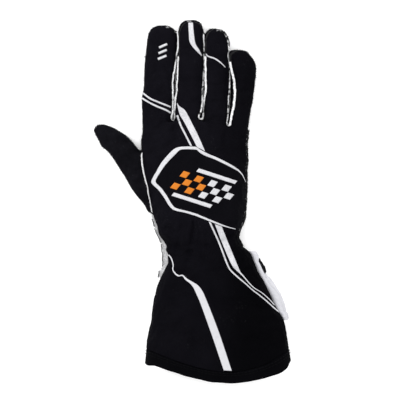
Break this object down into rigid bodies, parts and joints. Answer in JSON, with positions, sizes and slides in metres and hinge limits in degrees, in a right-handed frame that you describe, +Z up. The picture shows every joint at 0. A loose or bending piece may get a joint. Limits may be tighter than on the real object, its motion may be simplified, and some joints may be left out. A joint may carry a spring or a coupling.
{
  "type": "racing glove",
  "caption": "Right-hand gauntlet glove with outside finger seams, suede palm, panel on the back of the hand and flared cuff, lying palm down.",
  "frame": {"origin": "on the floor under the middle of the palm", "axes": "+Z up out of the back of the hand, +Y along the fingers, thumb towards -X"},
  "size_m": [0.1773, 0.3268, 0.0467],
  "materials": {
    "knit": "matte, fine knit",
    "suede": "matte suede",
    "raw_edge": "ragged cut edge with white thread",
    "panel": "smooth printed panel",
    "label": "satin woven label"
  },
  "bodies": {
    "root": {"back_fabric": "knit", "cuff_back": "knit", "palm_suede": "suede", "cuff_underside": "knit", "thumb_back": "suede", "thumb_front": "suede", "cuff_hem": "knit", "back_panel": "panel", "fourchette_index_middle": "knit", "seam_edge_index_middle": "raw_edge", "fourchette_middle_ring": "knit", "seam_edge_middle_ring": "raw_edge", "fourchette_ring_little": "knit", "seam_edge_ring_little": "raw_edge", "seam_edge_thumb": "raw_edge", "seam_edge_wrist": "raw_edge", "seam_edge_outer": "knit", "label": "label"}
  },
  "joints": []
}
